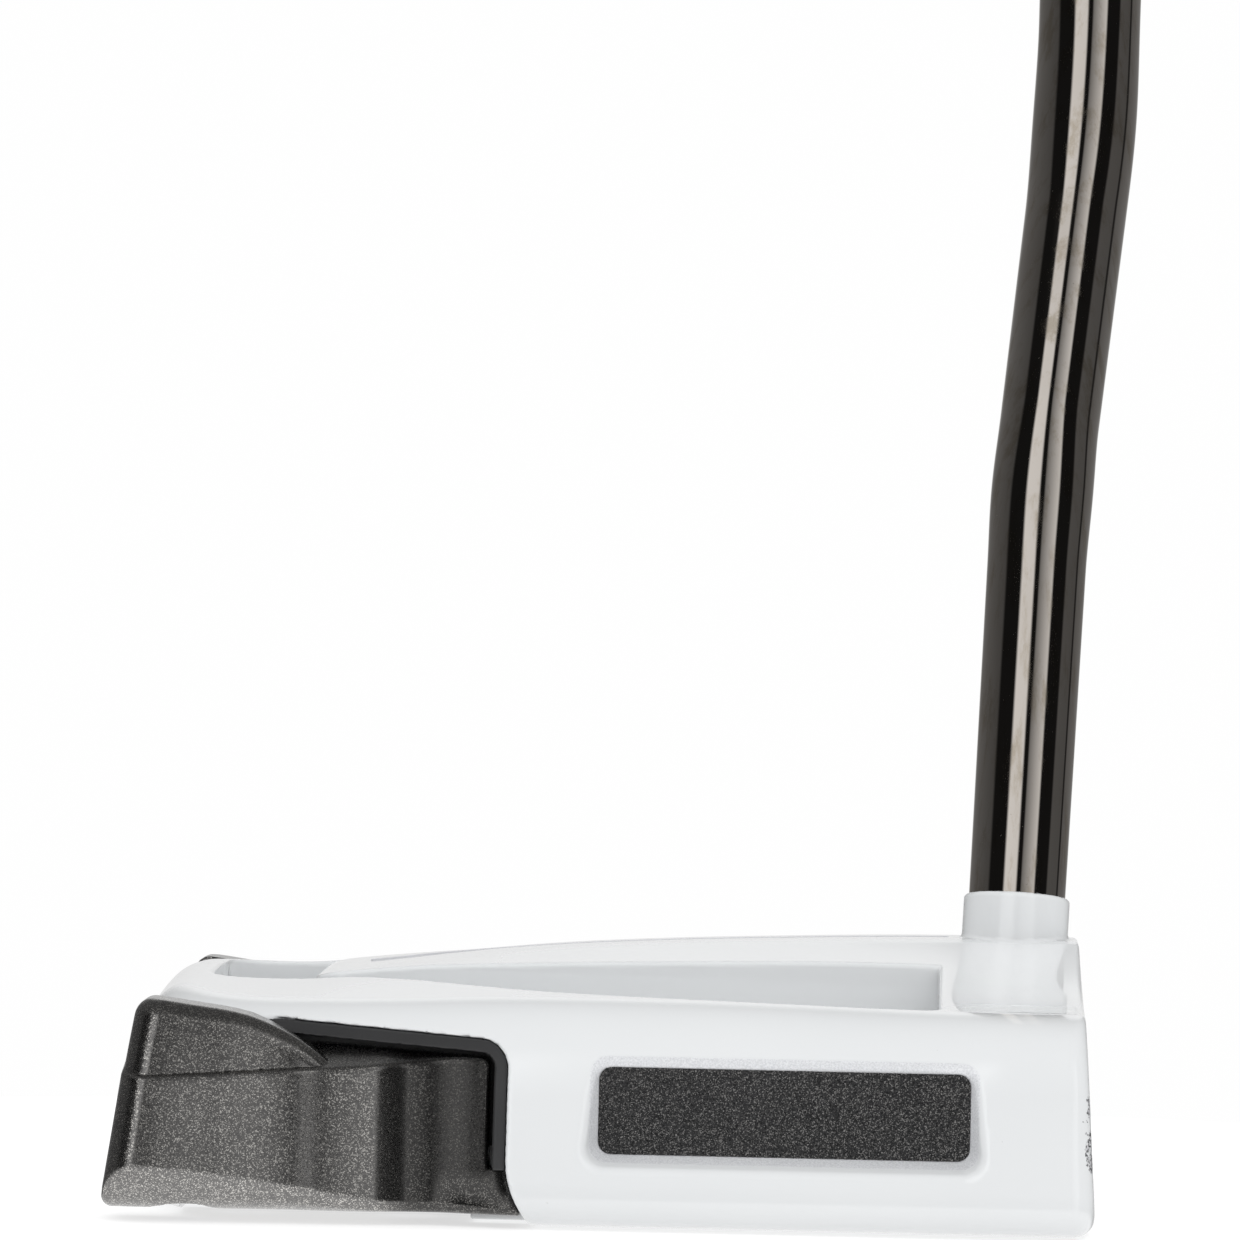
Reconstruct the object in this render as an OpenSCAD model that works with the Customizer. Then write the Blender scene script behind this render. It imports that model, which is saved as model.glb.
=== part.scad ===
// Mallet putter: white cast head with two black rear wings, a double-bend shaft and a flat-front grip.
// Millimetres. +X points at the target, -Y is the toe, +Y is the heel, +Z is up.
// The origin is on the ground, at the middle of the flat of the sole.

/* [Head] */
// Half width of the white casting, from the centre line to the toe wall
half_w = 50; // [48:0.5:51]
// Lean of the toe and heel walls from upright, in degrees
wall_lean = 16; // [14:0.5:18]
// Loft of the face, in degrees
loft = 3.5; // [2:0.25:5]
// Height of the floor of the wells above the ground
well_floor = 11; // [9.5:0.5:14]
// Half width of the central spine between the wells
spine_half = 14.8; // [12:0.1:16]
// Distance from the centre line to the outer wall of each well, at the front
well_half = 37; // [34:0.5:37.5]
// Distance from the centre line to the outer wall of each well, at the rear
well_rear_half = 18; // [17:0.5:22]
// Rear wall of the wells
well_rear_x = -38.4; // [-39:0.1:-36]
// Rear end of the spine
spine_end_x = -28.5; // [-29:0.5:-25]
// Front wall of the wells
well_front_x = 31; // [28:0.5:32]
// Half width of the flat ridge along the top of the spine
ridge_half = 5.3; // [5.2:0.1:7]
// Depth of the painted sight line in the top of the spine
sight_depth = 0.5; // [0.3:0.1:1]
// Width of the sight line
sight_w = 1.4; // [1:0.1:3]

/* [Face insert] */
// Length of the face insert, toe to heel
insert_len = 64; // [50:1:70]
// Height of the face insert
insert_h = 14; // [13:0.5:15]
// Thickness of the face insert
insert_t = 3; // [2:0.25:4]
// Thickness of the bond behind the insert
bond_t = 0.3; // [0.2:0.05:0.5]

/* [Side windows] */
// Length of the bright chamfered rim of a window
rim_len = 36.7; // [32:0.1:38]
// Height of the bright chamfered rim
rim_h = 10; // [9:0.1:10.6]
// Length of the black side insert
side_len = 34.6; // [30:0.1:36]
// Height of the black side insert
side_h = 8.1; // [7:0.1:9]
// How far the black side insert sits below the wall
side_recess = 1.6; // [1.2:0.1:2.2]
// Thickness of the black side insert
side_t = 2; // [1.5:0.1:3]

/* [Wings] */
// Inner wall of the notch that each wing fills
notch_y = 40.5; // [40:0.25:42]
// Outer reach of a wing from the centre line
wing_half = 52; // [51:0.25:53]
// Rear reach of a wing
wing_rear_x = -46.7; // [-48:0.1:-45.5]
// Thickness of the moulded gasket between casting and wing
gasket_t = 0.8; // [0.6:0.05:1]
// Diameter of a screw-in wing weight
weight_d = 7.2; // [5:0.2:7.6]
// Height of a screw-in wing weight
weight_h = 9; // [5:0.5:10]

/* [Sole] */
// Length of the sole plate along X
plate_len = 60; // [50:1:62]
// Width of the sole plate along Y
plate_w = 44; // [36:1:48]
// Thickness of the sole plate
plate_t = 1.5; // [1:0.1:2]

/* [Shaft] */
// Outer radius of the shaft at its tip
tip_r = 4.68; // [4.6:0.02:4.8]
// Outer radius of the shaft at its butt
butt_r = 7.62; // [7.2:0.02:8]
// Wall thickness of the shaft tube
tube_wall = 0.6; // [0.5:0.05:0.8]
// Length of the club, from the ground below the shaft to the butt
club_len = 863.6; // [812.8:12.7:889]
// Bend radius of the lower bend
bend_low_r = 36; // [28:1:45]
// Bend radius of the upper bend
bend_high_r = 95; // [60:5:105]

/* [Grip] */
// Length of the grip with its cap
grip_len = 267; // [240:1:270]
// Radius of the grip at its lower end
grip_low_r = 10.5; // [10:0.25:12]
// Radius of the grip at its upper end
grip_high_r = 14; // [12.5:0.25:16]
// Distance from the shaft axis to the flat front of the grip
grip_flat = 9.8; // [9.5:0.1:10.4]
// Thickness of the tape under the grip
tape_t = 0.3; // [0.2:0.05:0.5]

/* [Hidden] */
$fn = 64;
eps = 0.01;

white = [0.93, 0.93, 0.94];
black = [0.12, 0.12, 0.12];
silver = [0.72, 0.73, 0.74];
dark_chrome = [0.22, 0.2, 0.2];
bond_col = [0.8, 0.78, 0.7];

// Head height at the middle of the face
head_h = 25.75;
face_low_x = 46.1;
face_top_x = face_low_x - (head_h - 2.4) * tan(loft);
rear_x = -44.2;

// Collar and post that carry the shaft
collar_p = [38.6, 0.1, 29.8];
collar_r = 5.15;
post_r = 3.85;
post_len = 22;
d1 = unit([0.0393, 0.1405, 1]);
d2 = unit([0.1096, 0.6494, 1]);
d3 = unit([0.0127, 0.364, 1]);
corner_low = [40.138, 5.643, 69.15];
corner_high = [44.096, 29.09, 105.26];
cut_low = bend_low_r * tan(angle_of(d1, d2) / 2);
cut_high = bend_high_r * tan(angle_of(d2, d3) / 2);
s1_end = corner_low - d1 * cut_low;
s2_start = corner_low + d2 * cut_low;
s2_end = corner_high - d2 * cut_high;
s3_start = corner_high + d3 * cut_high;
bend_low_tube = 4.82;
bend_high_tube = 5.02;
swell = 0.08;
s3_len = club_len - s3_start[2] / d3[2];
taper_len = 465;
shaft_top = s3_len - 4;
cap_t = 5;
tape_len = 255;

// Window frame on the leaning wall
win_x = 17;
win_z = 11;
insert_lean = 5;
wall_y = half_w - 0.4 - (win_z - 6.3) * tan(wall_lean);

plate_x = 2;
plate_screw_x = 23;
plate_screw_y = 16;
screw_r = 1.5;
screw_head_r = 2.8;
screw_top = 7;
wing_screw_xs = [-34, -18];
wing_screw_y = 33;
tongue_z0 = 1.4;
tongue_z1 = 4.6;
weight_x = -39;
weight_y = 44.8;
weight_z0 = 1.7;

function unit(v) = v / norm(v);
function angle_of(a, b) = acos(a * b);
function arc(cx, cy, r, a0, a1, n) =
  [for (i = [0:n]) [cx + r * cos(a0 + (a1 - a0) * i / n), cy + r * sin(a0 + (a1 - a0) * i / n)]];

// The mirror half of a toe-side shape
module heel() {
  mirror([0, 1, 0]) children();
}

module along_y(y0, y1) {
  translate([0, y1, 0]) rotate([90, 0, 0]) linear_extrude(y1 - y0) children();
}

// Puts local +Z on the direction d, from the point p
module aim(p, d) {
  translate(p) rotate([0, acos(d[2]), atan2(d[1], d[0])]) children();
}

module rounded_slab(l, w, r, h) {
  linear_extrude(h) union() {
    square([l - 2 * r, w], center = true);
    square([l, w - 2 * r], center = true);
    for (x = [-1, 1]) for (y = [-1, 1])
      translate([x * (l / 2 - r), y * (w / 2 - r)]) circle(r);
  }
}

// ---------- casting ----------

// Outline from the toe side, with the crowned spine on top
module side_outline() {
  polygon([[-20, 0], [44.4, 0], [45.8, 0.5], [face_low_x, 1.4], [face_top_x, head_h - 1],
    [face_top_x - 1.2, head_h], [29.2, head_h], [15.3, 25.4], [4.9, 25], [-5.5, 24.3], [-16.4, 23.3],
    [-23.7, 22.6], [spine_end_x, 22.2], [-40.4, 22.2], [-42.8, 21.2], [-43.9, 19.4], [rear_x, 17.5],
    [rear_x, 2.4], [rear_x + 0.8, 1.4]]);
}

module plan_outline() {
  half = [[face_low_x + 1, half_w - 7], [45.9, half_w - 3.6], [44.6, half_w - 1.4], [42.2, half_w - 0.2],
    [40, half_w], [-12, half_w], [-22, half_w - 0.9], [-30, half_w - 3.6], [-36.5, half_w - 7.6],
    [-40.6, half_w - 12], [-42.8, half_w - 17], [-43.7, half_w - 23], [rear_x, half_w - 32], [rear_x - 1, half_w - 40]];
  polygon(concat(half, [for (i = [len(half) - 1:-1:0]) [half[i][0], -half[i][1]]]));
}

// Section across the head: flat ridge, shoulders, leaning walls and rolled sole edge
module section_outline() {
  w = half_w;
  top_y = w - 0.4 - (19 - 6.3) * tan(wall_lean);
  half = [[0, head_h + 0.1], [ridge_half, head_h], [15, 23.7], [25, 22.3], [37, 20.9], [42, 20.4],
    [top_y - 2.4, 20.1], [top_y - 0.7, 19.5], [top_y, 18.9], [w - 0.4, 6.3], [w, 4.4], [w, 3.4],
    [w - 0.7, 1.5], [w - 2.2, 0.3], [w - 3.6, 0]];
  polygon(concat(half, [for (i = [len(half) - 1:-1:1]) [-half[i][0], half[i][1]]]));
}

module head_envelope() {
  intersection() {
    along_y(-60, 60) side_outline();
    linear_extrude(40) plan_outline();
    rotate([90, 0, 90]) linear_extrude(120, center = true) section_outline();
  }
}

// The wells on both sides of the spine join behind its rear end
module well_plan() {
  h = well_half;
  s = spine_half;
  r = well_rear_half;
  side = [[well_front_x, -s - 1.5], [well_front_x - 1.5, -s], [spine_end_x + 3, -s],
    [spine_end_x, -s + 3], [spine_end_x, -3], [well_rear_x, -3], [well_rear_x, -r + 4],
    [well_rear_x + 1.2, -r + 1.2], [well_rear_x + 4, -r], [spine_end_x, -r - 0.8], [-20, -24.6],
    [-10, -31], [5, -h + 1], [18, -h], [well_front_x - 2, -h], [well_front_x, -h + 2]];
  polygon(side);
  polygon([for (p = side) [p[0], -p[1]]]);
  translate([well_rear_x, -3.1]) square([spine_end_x - well_rear_x, 6.2]);
}

module notch_side() {
  polygon(concat([[-60, 20.6]], arc(-11.4, 14.6, 2.55, 86, 2, 7),
    [[-8.8, 10.9], [-8.95, 6.3], [-7.9, 2.2], [-6.7, 0.6], [-6.3, -1], [-60, -1]]));
}

module window_frame() {
  translate([win_x, -wall_y, win_z]) rotate([90 - insert_lean, 0, 0]) children();
}

// The rim steps in from the wall to the seat of the black insert
module window_cut() {
  window_frame() {
    translate([0, 0, -side_recess]) rounded_slab(rim_len, rim_h, 1.8, 7);
    translate([0, 0, -side_recess - side_t - bond_t]) rounded_slab(side_len, side_h, 1.2, 5);
  }
}

module face_frame() {
  translate([face_low_x, 0, 1.4]) rotate([0, -loft, 0])
    translate([0, 0, 10.2]) rotate([0, 90, 0]) rotate([0, 0, 90]) children();
}

module sight_slot() {
  difference() {
    translate([-24, -sight_w / 2, 15]) cube([56, sight_w, 20]);
    translate([0, 0, -sight_depth]) along_y(-10, 10) side_outline();
  }
}

module screw_hole(h) {
  translate([0, 0, -eps]) cylinder(h = h + eps, r = screw_r);
}

module tongue_box(grow) {
  translate([-39.5 - grow, -notch_y - 1.5, tongue_z0 - 3 * grow])
    cube([27 + 2 * grow, notch_y + 1.5 - 28 + grow, tongue_z1 - tongue_z0 + 3 * grow]);
}

module side_cuts() {
  along_y(-70, -notch_y) notch_side();
  translate([0, 0, -3]) tongue_box(0.2);
  tongue_box(0.2);
  window_cut();
  for (x = wing_screw_xs) translate([x, -wing_screw_y, tongue_z1]) screw_hole(screw_top - tongue_z1 + 2.6);
}

module head_body() {
  color(white) difference() {
    union() {
      head_envelope();
      aim(collar_p - d1 * 6, d1) rotate(200) cylinder(h = 6, r = collar_r);
      aim(collar_p - d1, d1) cylinder(h = post_len + 1, r = post_r);
    }
    translate([0, 0, well_floor]) linear_extrude(40) well_plan();
    side_cuts();
    heel() side_cuts();
    face_frame() translate([0, 0, -insert_t - bond_t]) rounded_slab(insert_len, insert_h, 3, 12);
    sight_slot();
    translate([plate_x, 0, -5]) rounded_slab(plate_len + 0.4, plate_w + 0.4, 6, 5 + plate_t);
    for (x = [-1, 1]) for (y = [-1, 1])
      translate([plate_x + x * plate_screw_x, y * plate_screw_y, plate_t]) screw_hole(screw_top - plate_t);
  }
}

module sight_line_fill() {
  color(black) intersection() {
    head_envelope();
    sight_slot();
  }
}

module face_insert() {
  color(silver) difference() {
    face_frame() translate([0, 0, -insert_t]) rounded_slab(insert_len, insert_h, 3, insert_t);
    face_frame() for (i = [-3:3]) translate([0, i * 2, -0.35])
      translate([-insert_len / 2 + 7, -0.35, 0]) cube([insert_len - 14, 0.7, 1]);
  }
}

module face_insert_bond() {
  color(bond_col) face_frame() translate([0, 0, -insert_t - bond_t]) rounded_slab(insert_len, insert_h, 3, bond_t);
}

module toe_side_insert() {
  color(black) window_frame() translate([0, 0, -side_recess - side_t]) rounded_slab(side_len, side_h, 1.2, side_t);
}

module heel_side_insert() {
  heel() toe_side_insert();
}

module toe_insert_bond() {
  color(bond_col) window_frame() translate([0, 0, -side_recess - side_t - bond_t])
    rounded_slab(side_len, side_h, 1.2, bond_t);
}

module heel_insert_bond() {
  heel() toe_insert_bond();
}

// ---------- wings ----------

// Outline of the wing from the toe side, with the raised lobe at the rear
module wing_side() {
  g = gasket_t;
  polygon(concat([[wing_rear_x, 2.2], [wing_rear_x + 2.8, 19.2], [wing_rear_x + 4.6, 20.2], [-37, 19.6],
    [-31.2, 18.2], [-27, 16.2], [-23.8, 14.4]], arc(-11.4, 14.6, 2.55 - g, 86, 2, 5),
    [[-8.8 - g, 10.9], [-8.95 - g, 6.3], [-7.9 - g, 2.2], [-6.9 - g, 0.8], [-14, 0.8], [-41, 1.3],
    [wing_rear_x + 1, 1.3]]));
}

module wing_plan() {
  w = wing_half;
  polygon([[-7.4, -notch_y], [-7.4, -w + 2.6], [-12, -w + 3.2], [-17, -w + 4.2], [-22, -w + 3.9],
    [-27, -w + 2], [-33, -w + 0.6], [-39, -w + 0.1], [-43, -w], [-45.2, -w + 0.6], [-46.4, -w + 2.2],
    [wing_rear_x, -w + 4.5], [wing_rear_x, -notch_y - 2.5], [wing_rear_x + 1.4, -notch_y]]);
}

// Section across the wing: rolled lower edge, and the lobe leaning in above the crease
module wing_section() {
  w = wing_half;
  polygon([[-notch_y, 0.8], [-w + 4, 0.8], [-w + 1.2, 2.2], [-w, 4.2], [-w + 0.6, 13.6], [-w + 1.8, 17],
    [-w + 3.2, 19.8], [-w + 4.4, 20.4], [-w + 5, 19.8], [-w + 5.6, 17], [-notch_y, 17]]);
}

module toe_wing() {
  color(black) difference() {
    union() {
      intersection() {
        along_y(-60, -notch_y) wing_side();
        linear_extrude(40) wing_plan();
        rotate([90, 0, 90]) linear_extrude(120, center = true) wing_section();
      }
      tongue_box(0);
    }
    translate([weight_x, -weight_y, -1]) cylinder(h = weight_z0 + weight_h + 1, r = weight_d / 2);
    for (x = wing_screw_xs) translate([x, -wing_screw_y, 0]) {
      screw_hole(10);
      translate([0, 0, tongue_z0 - eps]) cylinder(h = 1.31, r1 = screw_head_r, r2 = screw_r);
    }
  }
}

module heel_wing() {
  heel() toe_wing();
}

module toe_wing_gasket() {
  g = gasket_t;
  color(black) intersection() {
    difference() {
      along_y(-49.9, -notch_y) polygon(concat([[-38, 18.94]], arc(-11.4, 14.6, 2.55, 86, 2, 7),
        [[-8.8, 10.9], [-8.95, 6.3], [-8.95 - g, 6.3], [-8.8 - g, 10.9]],
        arc(-11.4, 14.6, 2.55 - g, 2, 86, 7), [[-38, 18.94 - g]]));
      along_y(-60, -30) wing_side();
    }
    head_envelope();
  }
}

module heel_wing_gasket() {
  heel() toe_wing_gasket();
}

module flat_screw(z0, z1) {
  difference() {
    union() {
      translate([0, 0, z0]) cylinder(h = screw_head_r - screw_r, r1 = screw_head_r, r2 = screw_r);
      translate([0, 0, z0]) cylinder(h = z1 - z0, r = screw_r);
    }
    translate([0, 0, z0 - 1]) cylinder(h = 2.4, r = 1.1, $fn = 6);
  }
}

module wing_screws() {
  color(silver) for (x = wing_screw_xs) for (y = [-1, 1])
    translate([x, y * wing_screw_y, 0]) flat_screw(tongue_z0, screw_top + 2);
}

module toe_wing_weight() {
  color(silver) translate([weight_x, -weight_y, weight_z0]) difference() {
    cylinder(h = weight_h, r = weight_d / 2);
    translate([0, 0, -1]) cylinder(h = 4, r = 1.8, $fn = 6);
  }
}

module heel_wing_weight() {
  heel() toe_wing_weight();
}

// ---------- sole ----------

module sole_plate() {
  color(silver) difference() {
    translate([plate_x, 0, 0]) rounded_slab(plate_len, plate_w, 5.8, plate_t);
    for (x = [-1, 1]) for (y = [-1, 1]) translate([plate_x + x * plate_screw_x, y * plate_screw_y, 0]) {
      screw_hole(5);
      translate([0, 0, 0.15]) cylinder(h = screw_head_r - screw_r, r1 = screw_head_r, r2 = screw_r);
      translate([0, 0, -1]) cylinder(h = 1.15 + eps, r = screw_head_r);
    }
  }
}

module sole_plate_screws() {
  color(silver) for (x = [-1, 1]) for (y = [-1, 1])
    translate([plate_x + x * plate_screw_x, y * plate_screw_y, 0]) flat_screw(0.15, screw_top - 0.3);
}

// ---------- shaft and grip ----------

module ring_run(p, d, l, r1, r2, wall) {
  aim(p, d) rotate_extrude() polygon([[r1 - wall, 0], [r1, 0], [r2, l], [r2 - wall, l]]);
}

module run(p, d, l, r1, r2) {
  aim(p, d) cylinder(h = l, r1 = r1, r2 = r2);
}

// A bent rod that leaves the point p along da and ends along db
module bend(p, da, db, r, rod) {
  n = unit(db - da * (da * db));
  c = p + n * r;
  e = cross(-n, da);
  multmatrix([[-n[0], da[0], e[0], c[0]], [-n[1], da[1], e[1], c[1]], [-n[2], da[2], e[2], c[2]]])
    rotate_extrude(angle = angle_of(da, db)) translate([r, 0]) circle(rod);
}

// The path of the shaft as a solid rod, thinner than the tube by w. The bends swell a little, and the
// straight runs reach into them.
module shaft_rod(w, more) {
  lap = 1;
  low = bend_low_tube - w;
  high = bend_high_tube - w;
  run(collar_p - d1 * more, d1, norm(s1_end - collar_p) + more + lap, tip_r - w, low);
  bend(s1_end, d1, d2, bend_low_r, low + swell);
  run(s2_start - d2 * lap, d2, norm(s2_end - s2_start) + 2 * lap, low, high);
  bend(s2_end, d2, d3, bend_high_r, high + swell);
  run(s3_start - d3 * lap, d3, taper_len + lap, high, butt_r - w);
  run(s3_start + d3 * (taper_len - lap), d3, shaft_top - taper_len + more + lap, butt_r - w + 0.01, butt_r - w + 0.01);
}

module shaft() {
  color(dark_chrome) difference() {
    shaft_rod(0, 0);
    shaft_rod(tube_wall, 1);
  }
}

module shaft_bond() {
  color(bond_col) difference() {
    aim(collar_p, d1) cylinder(h = post_len, r = tip_r - tube_wall);
    aim(collar_p - d1, d1) cylinder(h = post_len + 5, r = post_r);
  }
}

module grip_at(s) {
  aim(s3_start + d3 * s, d3) children();
}

module grip_tape() {
  color(bond_col) ring_run(s3_start + d3 * (shaft_top - tape_len), d3, tape_len, butt_r + tape_t, butt_r + tape_t, tape_t);
}

module grip_profile(l) {
  a = grip_low_r;
  b = grip_high_r;
  polygon([[0, 0], [a - 1.2, 0], [a - 0.3, 0.6], [a, 1.6], [a + 0.7, l * 0.35], [a + 2, l * 0.6],
    [b - 0.2, l * 0.86], [b, l * 0.93], [b - 0.2, l], [0, l]]);
}

module grip() {
  l = grip_len - cap_t;
  color(black) grip_at(s3_len - grip_len) difference() {
    intersection() {
      rotate_extrude() grip_profile(l);
      translate([-grip_flat, -40, 0]) cube([80, 80, l]);
    }
    translate([0, 0, -1]) cylinder(h = grip_len - 4 - tape_len + 1 + eps, r = butt_r);
    translate([0, 0, grip_len - 4 - tape_len]) cylinder(h = grip_len, r = butt_r + tape_t);
  }
}

module grip_cap() {
  b = grip_high_r - 0.2;
  color(black) grip_at(s3_len - cap_t) difference() {
    intersection() {
      rotate_extrude() polygon([[0, 0], [b, 0], [b, 2.2], [b - 0.8, 3.8], [b - 3, 4.8], [b - 6, cap_t], [0, cap_t]]);
      translate([-grip_flat, -40, 0]) cube([80, 80, cap_t]);
    }
    translate([0, 0, -1]) cylinder(h = 2, r = butt_r + tape_t);
    translate([0, 0, -1]) cylinder(h = 10, r = 1.2);
  }
}

head_body();
face_insert();
face_insert_bond();
sight_line_fill();
toe_side_insert();
heel_side_insert();
toe_insert_bond();
heel_insert_bond();
toe_wing();
heel_wing();
toe_wing_gasket();
heel_wing_gasket();
wing_screws();
toe_wing_weight();
heel_wing_weight();
sole_plate();
sole_plate_screws();
shaft();
shaft_bond();
grip_tape();
grip();
grip_cap();
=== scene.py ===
"""Mallet putter: white casting, black sparkle wings, double-bend dark chrome shaft, flat-front grip.

Shapes are worked out in millimetres, and handed to Blender in metres. +X is the target, -Y the toe.
"""

import math

import bpy
import numpy as np
from mathutils import Matrix, Vector


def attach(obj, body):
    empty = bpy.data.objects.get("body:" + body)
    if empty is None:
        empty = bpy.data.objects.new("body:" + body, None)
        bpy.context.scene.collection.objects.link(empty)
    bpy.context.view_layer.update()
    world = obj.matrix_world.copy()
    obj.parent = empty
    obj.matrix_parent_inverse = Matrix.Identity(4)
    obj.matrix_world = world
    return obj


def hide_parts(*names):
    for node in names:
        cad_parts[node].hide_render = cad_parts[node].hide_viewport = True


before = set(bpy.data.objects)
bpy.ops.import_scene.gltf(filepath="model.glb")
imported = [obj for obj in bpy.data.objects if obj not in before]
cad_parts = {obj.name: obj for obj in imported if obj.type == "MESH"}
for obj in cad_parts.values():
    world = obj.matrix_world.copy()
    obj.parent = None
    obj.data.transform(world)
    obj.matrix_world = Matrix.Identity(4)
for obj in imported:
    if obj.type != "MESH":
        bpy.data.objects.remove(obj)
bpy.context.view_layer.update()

MM = 0.001

# ---------------------------------------------------------------- places and sizes, in millimetres
HEAD_REAR = -44.2
REAR_CORNER_R, SOLE_EDGE_R = 22, 4.2
TOP_EDGE_R, REAR_TOP_EDGE_R = 4.5, 8.0
SHOULDER_Y, RAIL_Y = 15, 37  # |y| where the heights of the shoulder and of the rail hold
FACE_LOW = (46.1, 1.4)  # x and z of the lower edge of the face
FACE_INSERT = (45.48, 11.58)  # x and z of the centre of the insert's outer face
FACE_POCKET = (32.1, 7.1, 3.1)  # half length, half height and corner radius
FACE_POCKET_DEPTH = 3
LOFT = math.tan(math.radians(3.5))
WALL_FOOT = (49.6, 6.3)  # |y| and z on the leaning toe wall
WALL_LEAN = math.radians(16)
WELL_FLOOR = 11.0
WELL_FRONT, WELL_REAR = 31.2, -38.6
SPINE_HALF, SPINE_END = 14.8, -28.7
COLLAR_TOP = np.array([38.6, 0.1, 29.8])
COLLAR_R = 5.15
COLLAR_ROOT = 6  # how far the collar reaches down into the casting
NOTCH_Y = 40.5
NOTCH_R = 2.55
GASKET_STEP = 5.2  # the gasket ends at this height, and the wing flares below it
GASKET_W = 1.25
SOLE_PLATE_X, SOLE_PLATE_POCKET, SOLE_PLATE_T = 2, (30.15, 22.15, 6), 1.5
TONGUE = (-26, 13.5, 1.6)  # x, half length and half thickness of the part of a wing under the casting
TONGUE_SLOT = (39, 13.7, 11.2, 0.6, 4.8)  # |y|, half length, half width, corner radius and height
WINDOW = (17.0, 48.25, 11.0)
WINDOW_LEAN = math.radians(5)
WINDOW_RECESS = 1.6
WINDOW_RIM = (18.2, 4.95, 1.7)  # half length, half height and corner radius of the bare metal
INSERT_SIZE = (34.6, 8.1, 1.2)  # length, height and corner radius of a side insert
WING_REAR = -46.15
WEIGHT = (-39.0, 44.8, 3.7, 10.7)  # x, |y|, radius and height of a weight's hole
WING_SCREWS = (-34.0, -18.0)
WING_SCREW_Y, SCREW_HEAD_R, SCREW_R = 33, 2.9, 1.55

SHAFT_D1 = (0.0393, 0.1405, 1)
SHAFT_D2 = (0.1096, 0.6494, 1)
SHAFT_D3 = (0.0127, 0.364, 1)
CORNER_LOW = np.array([40.138, 5.643, 69.15])
CORNER_HIGH = np.array([44.096, 29.09, 105.26])
BEND_LOW, BEND_HIGH = 36.0, 95.0
BEND_SWELL = 0.14
TIP_R, BEND_R, BUTT_R = (4.68, 4.82), (4.86, 5.0, 5.06), 7.62  # the shaft's radius, from the head upwards
CLUB_LEN, TAPER_LEN, GRIP_LEN, CAP_T = 863.6, 465.0, 267.0, 5.0
GRIP_FLAT = 9.8
GRIP_LOW_R, GRIP_HIGH_R, GRIP_LIP, GRIP_LIP_LEN = 10.5, 14.0, 1.2, 1.8
ROUND_R = 20  # further out than any flat, so the ring is round
SIDES = 128


def unit(v):
    v = np.array(v, float)
    return v / np.linalg.norm(v)


D1, D2, D3 = unit(SHAFT_D1), unit(SHAFT_D2), unit(SHAFT_D3)


# ---------------------------------------------------------------- implicit shapes
def curve(*points):
    """A smooth curve through a few (x, value) points, level beyond its ends."""
    xs, ys = np.array(points, float).T
    slopes = np.gradient(ys, xs)

    def at(x):
        x = np.clip(x, xs[0], xs[-1])
        i = np.clip(np.searchsorted(xs, x) - 1, 0, len(xs) - 2)
        h = xs[i + 1] - xs[i]
        t = (x - xs[i]) / h
        rise = ys[i] * (1 + 2 * t) * (1 - t) ** 2 + ys[i + 1] * t * t * (3 - 2 * t)
        return (rise + h * t * (1 - t) * (slopes[i] * (1 - t) - slopes[i + 1] * t)).astype(np.float32)

    return at


def step(a, b, x):
    """Goes smoothly from 0 at a to 1 at b."""
    t = np.clip((x - a) / (b - a), 0, 1)
    return t * t * (3 - 2 * t)


def both(a, b, r):
    """The part inside a and b, its edge rounded to the radius r."""
    return np.minimum(-r, np.maximum(a, b)) + np.hypot(np.maximum(r + a, 0), np.maximum(r + b, 0))


def either(a, b, r):
    """The part inside a or b, with a fillet of radius r between them."""
    return np.maximum(r, np.minimum(a, b)) - np.hypot(np.maximum(r - a, 0), np.maximum(r - b, 0))


def box_2d(u, v, half_u, half_v, r):
    """A rounded rectangle."""
    du, dv = np.abs(u) - half_u + r, np.abs(v) - half_v + r
    return np.hypot(np.maximum(du, 0), np.maximum(dv, 0)) + np.minimum(np.maximum(du, dv), 0) - r


# ---------------------------------------------------------------- head casting
ridge_z = curve((-42, 21.75), (-30, 21.95), (-26.6, 22.1), (-16.4, 23.22), (-5.5, 24.25), (4.9, 24.9),
                (15.3, 25.33), (29.2, 25.72), (43, 25.75))
ridge_half = curve((-40, 2), (-23.7, 2), (-16.4, 3.4), (-5.5, 5.2), (5, 5.3), (43, 5.3))
shoulder_z = curve((-40, 21.35), (-28, 21.5), (-25.7, 21.8), (-19.6, 22.4), (-8.5, 22.9), (5, 23.3),
                   (25, 23.6), (31, 23.5), (37, 22.9), (43, 22.8))
rail_z = curve((-40, 20), (-30, 20.15), (-20, 20.4), (-10, 20.8), (5, 20.9), (31, 20.4), (43, 20.3))
well_side = curve((-40, 17.8), (-29, 18.4), (-20, 24.6), (-10, 31), (5, 36), (20, 37), (31, 37))


def top_surface(x, ay, z):
    """The flat ridge, and the shoulders that fall from it through two heights to the toe and heel."""
    top, half = ridge_z(x), ridge_half(x)
    t, t1, t2 = ay - half, SHOULDER_Y - half, RAIL_Y - half
    slope1, slope2 = (shoulder_z(x) - top) / t1, (rail_z(x) - top) / t2
    bend = (slope2 - slope1) / (t2 - t1)
    fall = (slope1 - bend * t1) * t + bend * t * t
    return both(z - top, (z - top - fall) * 0.975, 0.35)


def toe_wall(ay, z):
    """The leaning wall at the toe and at the heel."""
    return (ay - WALL_FOOT[0] + (z - WALL_FOOT[1]) * math.tan(WALL_LEAN)) * math.cos(WALL_LEAN)


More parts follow.
